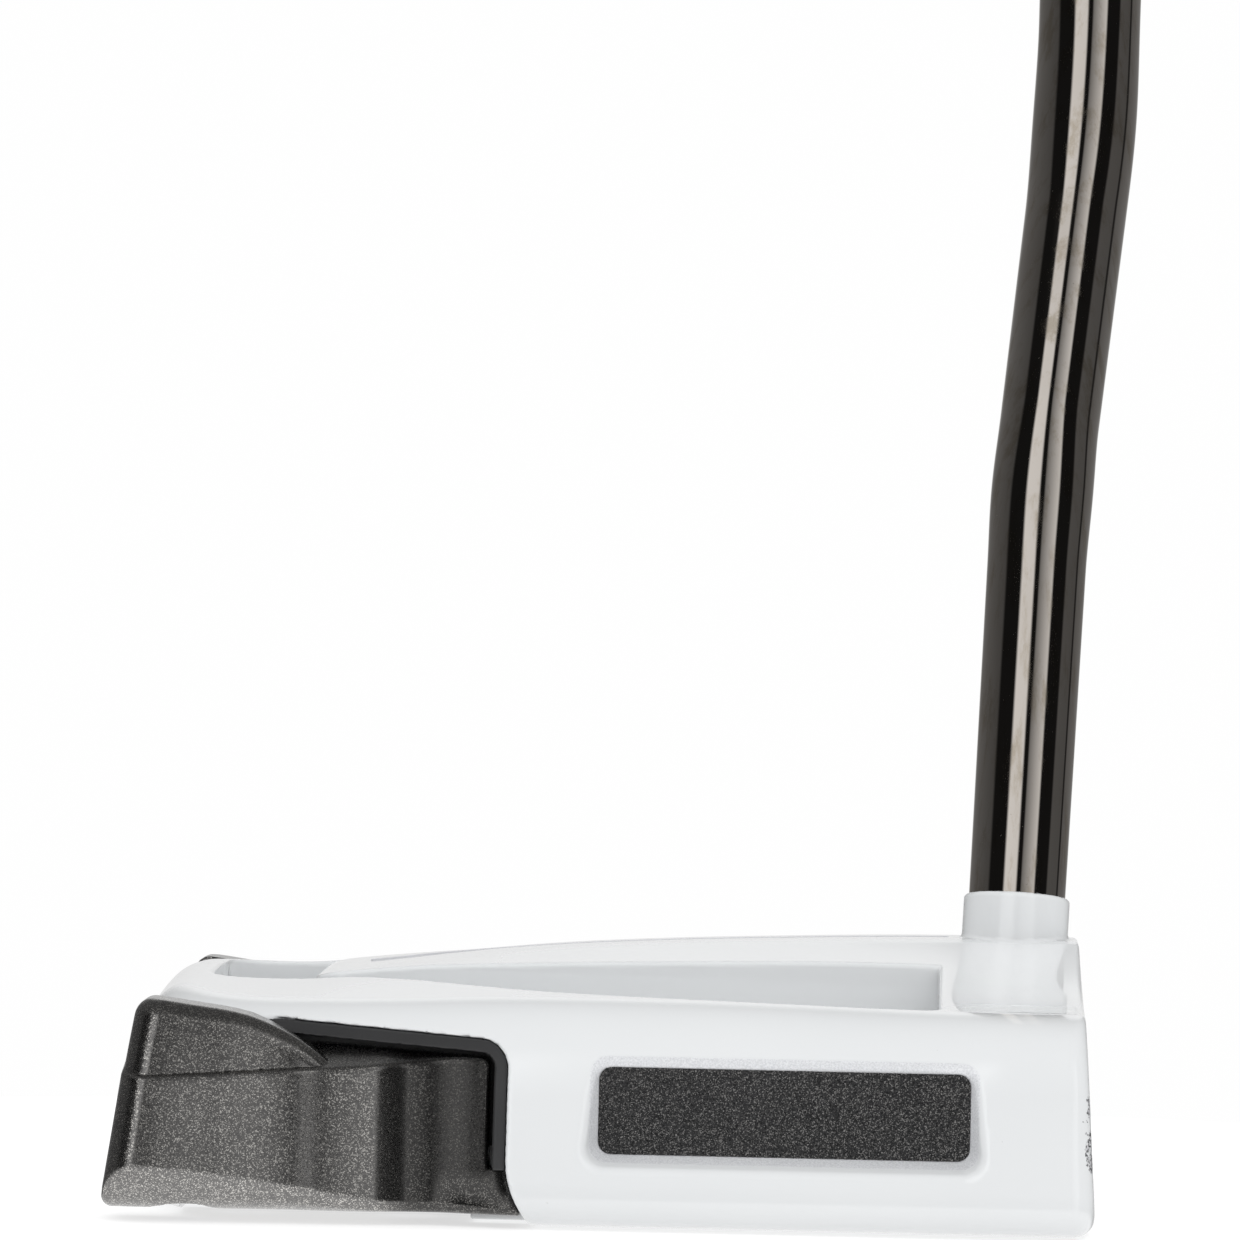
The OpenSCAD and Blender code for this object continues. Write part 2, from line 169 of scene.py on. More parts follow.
def envelope(x, ay, z):
    """The casting before its wells, windows and notches are cut."""
    side = both(toe_wall(ay, z), HEAD_REAR - x, REAR_CORNER_R)
    body = both(side, -z, SOLE_EDGE_R)
    top_r = TOP_EDGE_R + (REAR_TOP_EDGE_R - TOP_EDGE_R) * step(-40, -26, x)
    body = both(body, top_surface(x, ay, z), top_r)
    face = (x - FACE_LOW[0] + (z - FACE_LOW[1]) * LOFT) * 0.998
    return both(body, face, 1 - 0.5 * step(6, 16, z) + 1.1 * step(38, 46, ay))


def collar(x, y, z):
    """The short round collar that the shaft stands on."""
    q = [x - COLLAR_TOP[0], y - COLLAR_TOP[1], z - COLLAR_TOP[2]]
    up = q[0] * D1[0] + q[1] * D1[1] + q[2] * D1[2]
    out = np.sqrt(np.maximum(q[0] ** 2 + q[1] ** 2 + q[2] ** 2 - up * up, 0))
    return np.maximum(both(out - COLLAR_R, up, 0.5), -COLLAR_ROOT - up)


def wells(x, ay, z):
    """The air on both sides of the spine and behind it."""
    plan = both(both((ay - well_side(x)) * 0.88, WELL_REAR - x, 4.5), x - WELL_FRONT, 1.6)
    spine = both(ay - SPINE_HALF, SPINE_END - x, 3)
    spine = both(spine, 0.886 * (z - 22.1) - 0.464 * (x + 26.9), 0.25)
    return both(np.maximum(plan, -spine), WELL_FLOOR - z, 1.4)


def notch_outline(x, z):
    """The side outline of the notch that a wing and its gasket fill."""
    front = -8.85 + 0.0595 * np.maximum(6.3 - z, 0) ** 2
    return both(z - 17.14 + 0.0709 * (x + 11.2), x - front, NOTCH_R)


def window_axes(x, ay, z):
    """Distances along, up and out from the middle of a window, which leans with the wall."""
    u, out, up = x - WINDOW[0], ay - WINDOW[1], z - WINDOW[2]
    c, s = math.cos(WINDOW_LEAN), math.sin(WINDOW_LEAN)
    return u, up * c - out * s, out * c + up * s


def window(x, ay, z):
    """A pocket whose walls open out from the side insert to the rim."""
    u, v, out = window_axes(x, ay, z)
    flare = 0.08 + 0.56 * (out + WINDOW_RECESS)
    length, height, r = INSERT_SIZE
    hole = box_2d(u, v, length / 2 + flare, height / 2 + flare, r + np.maximum(flare, 0) * 0.6)
    return np.maximum(hole * 0.87, -out - WINDOW_RECESS - 0.2)


def face_pocket(x, ay, z):
    """The pocket for the face insert."""
    up = (z - FACE_INSERT[1]) * 0.998 - (x - FACE_INSERT[0]) * LOFT
    depth = (x - FACE_LOW[0] + (z - FACE_LOW[1]) * LOFT) * 0.998
    return np.maximum(box_2d(ay, up, *FACE_POCKET), -FACE_POCKET_DEPTH - depth)


def sole_cuts(x, ay, z):
    """The pockets for the sole plate and for the tongues of the wings."""
    plate = np.maximum(box_2d(x - SOLE_PLATE_X, ay, *SOLE_PLATE_POCKET), z - SOLE_PLATE_T)
    middle, half_u, half_v, r, height = TONGUE_SLOT
    slot = np.maximum(box_2d(x - TONGUE[0], ay - middle, half_u, half_v, r), z - height)
    return np.minimum(plate, slot)


def head(x, y, z):
    """The whole casting."""
    ay = np.abs(y)
    body = either(envelope(x, ay, z), collar(x, y, z), 0.45)
    body = both(body, -wells(x, ay, z), 0.45)
    body = both(body, -window(x, ay, z), 0.5)
    body = both(body, -np.maximum(notch_outline(x, z), NOTCH_Y - ay), 0.3)
    return both(body, -np.minimum(face_pocket(x, ay, z), sole_cuts(x, ay, z)), 0.18)


# ---------------------------------------------------------------- wings, drawn on the +y side
wing_plan = curve((-46.7, 51.9), (-43.5, 52), (-36, 50.9), (-28.8, 49.5), (-25.8, 49.4), (-22.0, 48.75),
                  (-21.2, 48.55), (-18.0, 47.1), (-17.2, 46.9), (-12, 46.8), (-9.5, 46.8), (-7, 46.9))
crease_z = curve((-46, 13.0), (-44, 13.1), (-25, 14.3), (-21, 14.6), (-13.3, 15.5), (-10, 16.1))
lobe_z = curve((-46, 20.6), (-43.4, 20.5), (-39.2, 20.0), (-32, 18.6), (-28.1, 16.7), (-25, 14.4),
               (-22, 11.5))
bevel_z = curve((-47, 4.2), (-39, 3.7), (-28, 2.2), (-19, 0.8), (-12, 0.3), (-6, 0.2))


def wing_face(x, z):
    """The outer face in plan: full at the rear, hollow towards the front, with a flared foot at the tip."""
    return wing_plan(x) + 2.1 * step(-16, -8, x) * step(5.5, 0.6, z)


def wing(x, y, z):
    """A blade with a raised lobe over its rear, a bevel under it and a tongue that the screws go through."""
    outer = (y - wing_face(x, z)) * 0.95
    rear = (WING_REAR - x + (z - 4) * 0.15) * 0.989
    front = notch_outline(x, z) + GASKET_W + 0.5
    flare = np.maximum(notch_outline(x, z) + 0.15, z - GASKET_STEP)
    side = both(outer, rear, 2.6)
    bevel = (y - wing_face(x, z)) * 0.68 + (bevel_z(x) - z) * 0.73
    side = both(side, bevel, 0.9)
    side = both(side, 0.9 - z, 1.2)
    sunk = np.maximum(wing_face(x, z) - y, 0)
    blade = both(side, (z - crease_z(x) - 0.3 * sunk) * 0.95, 0.45)
    over = z - crease_z(x)
    lobe_out = y - wing_plan(x) + 0.75 + 0.16 * over + 0.035 * over * over
    lobe = both(both(lobe_out, rear + 0.15, 2.6), (z - lobe_z(x)) * 0.9, 1.5)
    lobe = np.maximum(both(lobe, np.minimum(front, 0.3 - envelope(x, y, z)), 0.3), 9 - z)
    blade = both(blade, np.minimum(front, flare), 0.35)
    body = np.minimum(blade, lobe)
    body = np.maximum(body, NOTCH_Y + 0.05 - y)
    middle, half_length, half_t = TONGUE
    tongue = np.maximum(box_2d(x - middle, y - 35, half_length, 7, 0.8), np.abs(z - 3) - half_t)
    body = np.minimum(body, tongue)
    hole = np.maximum(np.hypot(x - WEIGHT[0], y - WEIGHT[1]) - WEIGHT[2], z - WEIGHT[3])
    for sx in WING_SCREWS:
        out = np.hypot(x - sx, y - WING_SCREW_Y)
        sink = (out - SCREW_HEAD_R + (z - 1.4)) * 0.7
        hole = np.minimum(hole, np.minimum(sink, out - SCREW_R))
    return both(body, -hole, 0.2)


def gasket(x, y, z):
    """A liner round the notch's edge with a thin back wall, clear of the paint by a hair."""
    edge = notch_outline(x, z)
    ring = both(both(edge + 0.06, -edge - GASKET_W, 0.2), GASKET_STEP - z, 0.2)
    ring = np.maximum(ring, -38 - x)
    back = np.maximum(np.maximum(edge + 0.06, y - NOTCH_Y - 0.7), np.maximum(-40 - x, 7 - z))
    body = both(np.minimum(ring, back), envelope(x, y, z) + 0.12, 0.25)
    return np.maximum(body, NOTCH_Y + 0.02 - y)


# ---------------------------------------------------------------- meshing an implicit shape
CORNERS = [(i, j, k) for i in (0, 1) for j in (0, 1) for k in (0, 1)]
EDGES = [(a, b) for a in CORNERS for b in CORNERS
         if sum(b) - sum(a) == 1 and all(q >= p for p, q in zip(a, b))]


def surface_net(field, axes):
    """Vertices and quads of the surface where the field is zero on the grid of the three axes."""
    grid = np.meshgrid(*[a.astype(np.float32) for a in axes], indexing="ij", sparse=True)
    f = field(*grid)
    inside = f < 0
    n = [len(a) - 1 for a in axes]
    count = sum(inside[i:n[0] + i, j:n[1] + j, k:n[2] + k].astype(np.int8) for i, j, k in CORNERS)
    cells = np.argwhere((count > 0) & (count < 8))
    index = np.full(n, -1)
    index[tuple(cells.T)] = np.arange(len(cells))
    total, hits = np.zeros((len(cells), 3)), np.zeros(len(cells))
    for a, b in EDGES:
        pa, pb = cells + a, cells + b
        fa, fb = f[tuple(pa.T)], f[tuple(pb.T)]
        cross = (fa < 0) != (fb < 0)
        t = np.where(cross, fa / np.where(cross, fa - fb, 1), 0)
        for c in range(3):
            ca, cb = axes[c][pa[:, c]], axes[c][pb[:, c]]
            total[:, c] += np.where(cross, ca + t * (cb - ca), 0)
        hits += cross
    quads = []
    for c in range(3):
        d, e = (c + 1) % 3, (c + 2) % 3
        low = [slice(None)] * 3
        high = [slice(None)] * 3
        low[c], high[c] = slice(0, -1), slice(1, None)
        low[d] = high[d] = low[e] = high[e] = slice(1, -1)
        a, b = inside[tuple(low)], inside[tuple(high)]
        at = np.argwhere(a != b)
        flip = b[tuple(at.T)]
        at[:, d] += 1
        at[:, e] += 1
        ring = []
        for back_d, back_e in ((1, 1), (0, 1), (0, 0), (1, 0)):
            cell = at.copy()
            cell[:, d] -= back_d
            cell[:, e] -= back_e
            ring.append(index[tuple(cell.T)])
        ring = np.stack(ring, 1)
        quads.append(np.where(flip[:, None], ring[:, ::-1], ring))
    return total / hits[:, None], np.concatenate(quads)


def slope_of(field, p, h=0.02):
    """The field and its gradient at the points p."""
    g = [field(*(p + h * e).T) - field(*(p - h * e).T) for e in np.eye(3)]
    return field(*p.T), np.stack(g, 1) / (2 * h)


def settle(field, p, rounds=3, reach=0.12):
    """Moves the points on to the surface, and gives its normals there."""
    for _ in range(rounds):
        f, g = slope_of(field, p)
        move = -f[:, None] * g / np.maximum((g * g).sum(1), 1e-3)[:, None]
        size = np.linalg.norm(move, axis=1)[:, None]
        p = p + move * np.minimum(1, reach / np.maximum(size, 1e-9))
    g = slope_of(field, p)[1]
    return p, g / np.maximum(np.linalg.norm(g, axis=1), 1e-9)[:, None]


def mesh_from(name, points, faces):
    """A mesh from points in millimetres and an array of faces with the same number of corners."""
    mesh = bpy.data.meshes.new(name)
    corners = faces.shape[1]
    mesh.vertices.add(len(points))
    mesh.vertices.foreach_set("co", (np.asarray(points) * MM).astype(np.float32).ravel())
    mesh.loops.add(faces.size)
    mesh.loops.foreach_set("vertex_index", faces.astype(np.int32).ravel())
    mesh.polygons.add(len(faces))
    mesh.polygons.foreach_set("loop_start", np.arange(0, faces.size, corners, dtype=np.int32))
    mesh.update(calc_edges=True)
    mesh.validate()
    return mesh


def place(name, mesh, node_names, material):
    """A visible piece that rides on the club and replaces the CAD nodes of these names."""
    obj = bpy.data.objects.new(name, mesh)
    bpy.context.scene.collection.objects.link(obj)
    mesh.materials.clear()
    mesh.materials.append(material)
    mesh.shade_smooth()
    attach(obj, "root")
    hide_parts(*node_names)
    return obj


def thinned(mesh, most):
    """The mesh as triangles, collapsed to at most this many."""
    obj = bpy.data.objects.new("thinning", mesh)
    bpy.context.scene.collection.objects.link(obj)
    cut = obj.modifiers.new("collapse", "DECIMATE")
    cut.ratio = min(1.0, most / (2 * len(mesh.polygons)))
    cut.use_collapse_triangulate = True
    depsgraph = bpy.context.evaluated_depsgraph_get()
    small = bpy.data.meshes.new_from_object(obj.evaluated_get(depsgraph))
    bpy.data.objects.remove(obj)
    return small


def carve(name, field, axes, most):
    """A mesh of the field's surface with the field's own normals."""
    points, quads = surface_net(field, axes)
    points, _ = settle(field, points)
    mesh = thinned(mesh_from(name, points, quads), most)
    p = np.empty(len(mesh.vertices) * 3, np.float32)
    mesh.vertices.foreach_get("co", p)
    p, normals = settle(field, p.reshape(-1, 3).astype(float) / MM, rounds=2, reach=0.05)
    mesh.vertices.foreach_set("co", (p * MM).astype(np.float32).ravel())
    mesh.update()
    mesh.shade_smooth()
    mesh.normals_split_custom_set_from_vertices(normals)
    return mesh


def mirrored(mesh, name):
    """A copy on the other side of the centre plane, with its normals."""
    twin = mesh.copy()
    twin.name = name
    n = len(twin.vertices)
    p = np.empty(n * 3, np.float32)
    twin.vertices.foreach_get("co", p)
    p = p.reshape(-1, 3) * (1, -1, 1)
    normals = np.empty(len(twin.loops) * 3, np.float32)
    mesh.corner_normals.foreach_get("vector", normals)
    corner = np.empty(len(twin.loops), np.int32)
    mesh.loops.foreach_get("vertex_index", corner)
    per_vertex = np.zeros((n, 3), np.float32)
    per_vertex[corner] = normals.reshape(-1, 3) * (1, -1, 1)
    twin.vertices.foreach_set("co", p.astype(np.float32).ravel())
    twin.flip_normals()
    twin.update()
    twin.shade_smooth()
    twin.normals_split_custom_set_from_vertices(per_vertex)
    return twin


def ticks(*runs):
    """Grid lines from (start, end, spacing) runs that follow on from each other."""
    parts = [np.linspace(a, b, max(2, round((b - a) / d)), endpoint=False) for a, b, d in runs]
    return np.concatenate(parts + [[runs[-1][1]]])


# ---------------------------------------------------------------- lathed and swept shapes
def frame_along(d):
    """Two directions square to d and to each other."""
    side = unit(np.cross(d, (0, 1, 0)))
    return side, np.cross(d, side)


def tube(name, centres, directions, radii):
    """A tube, open at its ends, through rings with these centres, directions and radii."""
    angle = np.linspace(0, 2 * math.pi, SIDES, endpoint=False)
    points = []
    for c, d, r in zip(centres, directions, radii):
        side, up = frame_along(d)
        ring = np.cos(angle)[:, None] * side + np.sin(angle)[:, None] * up
        points.append(c + ring * np.reshape(r, (-1, 1)))
    rings = len(points)
    points = np.concatenate(points)
    a = np.arange(SIDES)
    b = (a + 1) % SIDES
    band = np.stack([a, b, b + SIDES, a + SIDES], 1)
    return mesh_from(name, points, np.concatenate([band + i * SIDES for i in range(rings - 1)]))


def shaft_path():
    """Rings along the shaft, and the start and the length of its upper straight run."""
    half_low = math.acos(D1 @ D2) / 2
    half_high = math.acos(D2 @ D3) / 2
    cut_low, cut_high = BEND_LOW * math.tan(half_low), BEND_HIGH * math.tan(half_high)
    s1_end = CORNER_LOW - D1 * cut_low
    s2_start, s2_end = CORNER_LOW + D2 * cut_low, CORNER_HIGH - D2 * cut_high
    s3_start = CORNER_HIGH + D3 * cut_high
    centres, directions, radii = [], [], []

    def straight(a, b, ra, rb, n):
        for t in np.linspace(0, 1, n):
            centres.append(a + (b - a) * t)
            directions.append(unit(b - a))
            radii.append(ra + (rb - ra) * t)

    def bend(start, da, db, r, ra, rb):
        n = unit(db - da * (da @ db))
        total = math.acos(da @ db)
        for t in np.linspace(0, 1, 26)[1:-1]:
            a = total * t
            centres.append(start + n * r * (1 - math.cos(a)) + da * r * math.sin(a))
            directions.append(da * math.cos(a) + n * math.sin(a))
            radii.append(ra + (rb - ra) * t + BEND_SWELL * math.sin(math.pi * t) ** 2)

    straight(COLLAR_TOP - D1 * 0.3, s1_end, *TIP_R, 12)
    bend(s1_end, D1, D2, BEND_LOW, TIP_R[1], BEND_R[0])
    straight(s2_start, s2_end, *BEND_R[:2], 10)
    bend(s2_end, D2, D3, BEND_HIGH, *BEND_R[1:])
    s3_len = CLUB_LEN - s3_start[2] / D3[2]
    taper_end = s3_start + D3 * TAPER_LEN
    straight(s3_start, taper_end, BEND_R[2], BUTT_R, 60)
    straight(taper_end, s3_start + D3 * (s3_len - 4), BUTT_R, BUTT_R, 20)
    return centres, directions, radii, s3_start, s3_len


def flat_ring(r, flat=ROUND_R):
    """Radii of a round section with one flat side that faces up, its corners softened."""
    side, up = frame_along(D3)
    toward = unit(np.array([0, -1, 0]) + D3 * D3[1])
    angle = np.linspace(0, 2 * math.pi, SIDES, endpoint=False)
    facing = np.cos(angle) * (side @ toward) + np.sin(angle) * (up @ toward)
    reach = np.where(facing > 0.05, flat / np.maximum(facing, 0.05), 1e3)
    power = 26.0  # the higher, the sharper the flat's corners
    return (r ** -power + reach ** -power) ** (-1 / power)


def grip_radius(s, length):
    """Radius of the round body of the grip at the distance s from its lower end."""
    lip = min(1.0, (s / GRIP_LIP_LEN)) ** 0.5 * GRIP_LIP - GRIP_LIP
    swell = step(0, 0.95, s / length)
    return GRIP_LOW_R + lip + (GRIP_HIGH_R - GRIP_LOW_R) * (0.35 * s / length + 0.65 * swell)


def make_grip(s3_start, s3_len):
    """The grip's sleeve, with a flat front and a rolled lower lip."""
    length = GRIP_LEN - CAP_T
    start = s3_start + D3 * (s3_len - GRIP_LEN)
    centres, radii = [start + D3 * 1.5], [flat_ring(7.65)]
    lip = [0.0, 0.15, 0.4, 0.8, 1.3, GRIP_LIP_LEN]
    for s in np.concatenate([lip, np.linspace(3, length - 1, 110), [length - 0.3, length]]):
        r = grip_radius(s, length) - (0.25 if s > length - 0.1 else 0)
        centres.append(start + D3 * s)
        radii.append(flat_ring(max(r, 9.3), GRIP_FLAT))
    centres.append(start + D3 * length)
    radii.append(flat_ring(7.95))
    return tube("grip", centres, [D3] * len(centres), radii)


def make_cap(s3_start, s3_len):
    """The butt cap: a low dome with a vent hole, from (height, radius) points."""
    start = s3_start + D3 * (s3_len - CAP_T)
    profile = [(0.02, 8.2), (0.02, 13.3), (0.35, 13.75), (1.4, 13.8), (2.6, 13.6), (3.4, 13.1), (4.1, 12.2),
               (4.6, 10.8), (4.85, 8.8), (4.95, 6), (4.98, 3), (4.98, 1.7), (4.8, 1.35), (4.4, 1.2), (2, 1.2)]
    centres, radii = [], []
    for height, r in profile:
        flat = GRIP_FLAT - 0.25 * max(0, height - 2) if r > 9 else ROUND_R
        centres.append(start + D3 * height)
        radii.append(flat_ring(r, flat))
    return tube("grip_cap", centres, [D3] * len(centres), radii)


# ---------------------------------------------------------------- materials
class Look:
    """A node material around one Principled shader, whose coordinates are millimetres."""

    def __init__(self, name, colour, rough, metal=0.0, **sockets):
        self.material = bpy.data.materials.new(name)
        self.material.use_nodes = True
        self.tree = self.material.node_tree
        self.shader = self.tree.nodes["Principled BSDF"]
        self.set("Base Color", (*colour, 1))
        self.set("Roughness", rough)
        self.set("Metallic", metal)
        for key, value in sockets.items():
            self.set(key.replace("_", " "), value)
        where = self.node("ShaderNodeTexCoord")
        self.mm = self.vector("SCALE", where.outputs["Object"], scale=1 / MM)
        split = self.node("ShaderNodeSeparateXYZ", self.mm)
        self.x, self.y, self.z = split.outputs

    def node(self, kind, *inputs, **settings):
        n = self.tree.nodes.new(kind)
        for key, value in settings.items():
            setattr(n, key, value)
        for i, value in enumerate(inputs):
            self.put(n.inputs[i], value)
        return n

    def put(self, socket, value):
        if isinstance(value, bpy.types.NodeSocket):
            self.tree.links.new(value, socket)
        elif value is not None:
            socket.default_value = value

    def set(self, socket, value):
        self.put(self.shader.inputs[socket], value)

    def math(self, operation, *inputs):
        return self.node("ShaderNodeMath", *inputs, operation=operation).outputs[0]

    def vector(self, operation, *inputs, scale=None):
        n = self.node("ShaderNodeVectorMath", *inputs, operation=operation)
        if scale is not None:
            self.put(n.inputs["Scale"], scale)
        return n.outputs[0]

    def noise(self, scale, detail=3.0, rough=0.5, at=None):
        """Noise from 0 to 1 with this many features a millimetre."""
        n = self.node("ShaderNodeTexNoise", at or self.mm)
        n.inputs["Scale"].default_value = scale
        n.inputs["Detail"].default_value = detail
        n.inputs["Roughness"].default_value = rough
        return n.outputs["Fac"]

    def cells(self, scale):
        """A random colour for each of this many cells a millimetre."""
        n = self.node("ShaderNodeTexVoronoi", self.mm)
        n.inputs["Scale"].default_value = scale
        return n.outputs["Color"]

    def ramp(self, value, low, high):
        """Maps low..high of a value to 0..1, with smooth ends."""
        n = self.node("ShaderNodeMapRange", value, low, high, 0.0, 1.0)
        n.interpolation_type = "SMOOTHSTEP"
        return n.outputs[0]

    def mix(self, factor, a, b):
        n = self.node("ShaderNodeMix", data_type="RGBA")
        self.put(n.inputs["Factor"], factor)
        self.put(n.inputs["A"], a if isinstance(a, bpy.types.NodeSocket) else (*a, 1))
        self.put(n.inputs["B"], b if isinstance(b, bpy.types.NodeSocket) else (*b, 1))
        return n.outputs["Result"]

    def bump(self, height, strength, distance=0.05):
        n = self.node("ShaderNodeBump")
        n.inputs["Strength"].default_value = strength
        n.inputs["Distance"].default_value = distance * MM
        self.put(n.inputs["Height"], height)
        self.set("Normal", n.outputs[0])

    def rect(self, u, v, half_u, half_v, r):
        """Distance outside a rounded rectangle, negative within."""
        du = self.math("SUBTRACT", self.math("ABSOLUTE", u), half_u - r)
        dv = self.math("SUBTRACT", self.math("ABSOLUTE", v), half_v - r)
        du0, dv0 = self.math("MAXIMUM", du, 0.0), self.math("MAXIMUM", dv, 0.0)
        square = self.math("ADD", self.math("MULTIPLY", du0, du0), self.math("MULTIPLY", dv0, dv0))
        out = self.math("SQRT", square)
        inner = self.math("MINIMUM", self.math("MAXIMUM", du, dv), 0.0)
        return self.math("SUBTRACT", self.math("ADD", out, inner), r)


def white_paint():
    """Glossy white paint, bare rough metal in the window pockets, and chips at the toe end of the face."""
    m = Look("white_paint", (0.76, 0.765, 0.79), 0.22, Coat_Weight=1.0, Coat_Roughness=0.03)
    u, v = m.math("SUBTRACT", m.x, WINDOW[0]), m.math("SUBTRACT", m.z, WINDOW[2])
    rim = m.rect(u, v, *WINDOW_RIM)
    side = m.math("GREATER_THAN", m.math("ABSOLUTE", m.y), 40.0)
    bare = m.math("MULTIPLY", m.ramp(rim, 0.05, -0.12), side)
    along = m.rect(m.math("SUBTRACT", m.x, 46.2), m.math("SUBTRACT", m.z, 10.0), 0.75, 3.6, 0.4)
    toe_end = m.math("LESS_THAN", m.y, -44.0)
    rough_edge = m.math("ADD", along, m.math("MULTIPLY", m.noise(1.0, 6.0, 0.75), 3.4))
    chip = m.math("MULTIPLY", m.ramp(rough_edge, 1.85, 1.75), toe_end)
    cloud = m.noise(0.05, 4.0)
    speck = m.ramp(m.noise(2.3, 2.0, 0.4), 0.79, 0.83)
    paint = m.mix(cloud, (0.665, 0.68, 0.69), (0.70, 0.712, 0.72))
    paint = m.mix(m.math("MULTIPLY", speck, 0.35), paint, (0.35, 0.34, 0.33))
    grain = m.noise(6.0, 2.0, 0.6)
    metal = m.mix(m.ramp(grain, 0.3, 0.7), (0.58, 0.59, 0.61), (0.74, 0.75, 0.77))
    scar = m.mix(m.ramp(m.noise(3.0, 2.0), 0.42, 0.6), (0.05, 0.05, 0.055), (0.5, 0.5, 0.52))
    colour = m.mix(chip, m.mix(bare, paint, metal), scar)
    m.set("Base Color", colour)
    m.set("Metallic", m.math("MULTIPLY", bare, 0.1))
    gloss = m.math("MULTIPLY_ADD", cloud, 0.08, 0.2)
    m.set("Roughness", m.math("ADD", m.math("MULTIPLY", bare, 0.28), gloss))
    peel = m.math("MULTIPLY", m.noise(0.8, 2.0), 0.25)
    sand = m.math("MULTIPLY", m.math("MULTIPLY", grain, bare), 1.2)
    height = m.math("SUBTRACT", m.math("ADD", peel, sand), m.math("MULTIPLY", chip, 1.5))
    m.bump(height, 0.35, 0.06)
    return m.material


def sparkle(name, ground, flake, share, lift, tilt_by, front_painted_shade=1.0):
    """Black paint with fine metal flakes, each tilted its own way. The front of a wing may be darkened with
    painted shade.
    """
    m = Look(name, ground, 0.38, 0.0, Specular_IOR_Level=0.5)
    cell = m.cells(12.0)
    pick = m.node("ShaderNodeSeparateColor", cell).outputs
    bright = m.ramp(pick[0], 1 - share, 1.0)
    cloud = m.noise(0.12, 3.0)
    colour = m.mix(bright, m.mix(cloud, ground, tuple(c * 1.25 for c in ground)), flake)
    # Painted shade: from x -21.5 mm to -17.5 mm the colour falls to the given factor, so the front of a wing
    # looks shaded; the paint itself is one tone.
    tone = m.mix(m.ramp(m.x, -21.5, -17.5), (1.0, 1.0, 1.0), (front_painted_shade,) * 3)
    m.set("Base Color", m.vector("MULTIPLY", colour, tone))
    m.set("Metallic", m.math("MULTIPLY_ADD", bright, 1.0 - lift, lift))
    m.set("Roughness", m.math("MULTIPLY_ADD", pick[1], 0.14, 0.16))
    normal = m.node("ShaderNodeNewGeometry").outputs["Normal"]
    tilt = m.vector("SCALE", m.vector("SUBTRACT", cell, (0.5, 0.5, 0.5)), scale=tilt_by)
    m.set("Normal", m.vector("NORMALIZE", m.vector("ADD", normal, tilt)))
    return m.material


def dark_chrome():
    """Dark polished plating with rub marks and specks of dust."""
    m = Look("dark_chrome", (0.56, 0.52, 0.48), 0.05, 1.0)
    rub = m.node("ShaderNodeMapping", m.mm)
    rub.inputs["Scale"].default_value = (1, 1, 0.22)
    smear = m.ramp(m.noise(0.5, 6.0, 0.7, rub.outputs[0]), 0.47, 0.68)
    dust = m.ramp(m.noise(3.1, 2.0, 0.4), 0.76, 0.8)
    tone = m.mix(m.noise(0.08, 3.0), (0.53, 0.485, 0.44), (0.62, 0.58, 0.54))
    tone = m.mix(m.math("MULTIPLY", smear, 0.7), tone, (0.4, 0.345, 0.27))
    m.set("Base Color", m.mix(m.math("MULTIPLY", dust, 0.6), tone, (0.3, 0.27, 0.24)))
    polish = m.math("MULTIPLY_ADD", smear, 0.1, 0.035)
    m.set("Roughness", m.math("ADD", polish, m.math("MULTIPLY", dust, 0.3)))
    m.bump(m.noise(0.25, 2.0), 0.04, 0.05)
    return m.material


def moulded_black(name, colour, rough, grain, strength):
    """Moulded rubber or plastic with a fine grain."""
    m = Look(name, colour, rough)
    fine = m.noise(grain, 3.0, 0.6)
    cloud = m.noise(0.1, 3.0)
    m.set("Base Color", m.mix(cloud, colour, tuple(c * 1.5 + 0.004 for c in colour)))
    m.set("Roughness", m.math("MULTIPLY_ADD", fine, 0.18, rough - 0.08))
    m.bump(fine, strength, 0.08)
    return m.material


def grip_rubber():
    """Black rubber with rows of small moulded diamonds and a matt skin."""
    m = Look("grip_rubber", (0.02, 0.02, 0.021), 0.62)
    a = m.math("MULTIPLY_ADD", m.z, 1.1, m.math("MULTIPLY", m.x, 1.9))
    b = m.math("MULTIPLY_ADD", m.z, 1.1, m.math("MULTIPLY", m.x, -1.9))
    weave = m.math("MULTIPLY", m.math("SINE", a), m.math("SINE", b))
    pit = m.ramp(weave, 0.05, 0.6)
    fine = m.noise(5.0, 3.0, 0.65)
    m.set("Base Color", m.mix(pit, (0.017, 0.017, 0.018), (0.034, 0.034, 0.035)))
    m.set("Roughness", m.math("MULTIPLY_ADD", fine, 0.2, 0.5))
    m.bump(m.math("MULTIPLY_ADD", fine, 0.3, pit), 0.6, 0.12)
    return m.material


def machined(name, colour, rough, scale=(0.08, 3.0, 3.0), strength=0.25):
    """Bare metal with fine parallel tool marks."""
    m = Look(name, colour, rough, 1.0)
    stretch = m.node("ShaderNodeMapping", m.mm)
    stretch.inputs["Scale"].default_value = scale
    lines = m.noise(2.2, 4.0, 0.6, stretch.outputs[0])
    cloud = m.noise(0.15, 3.0)
    m.set("Base Color", m.mix(cloud, tuple(c * 0.86 for c in colour), colour))
    m.set("Roughness", m.math("MULTIPLY_ADD", lines, 0.22, rough - 0.1))
    m.bump(lines, strength, 0.02)
    return m.material


def matt(name, colour, grain):
    """Adhesive or paint: matt, with a little unevenness."""
    m = Look(name, colour, 0.6)
    blotch = m.noise(grain, 4.0)
    m.set("Base Color", m.mix(blotch, tuple(c * 0.8 for c in colour), colour))
    m.set("Roughness", m.math("MULTIPLY_ADD", blotch, 0.3, 0.45))
    m.bump(blotch, 0.3, 0.05)
    return m.material


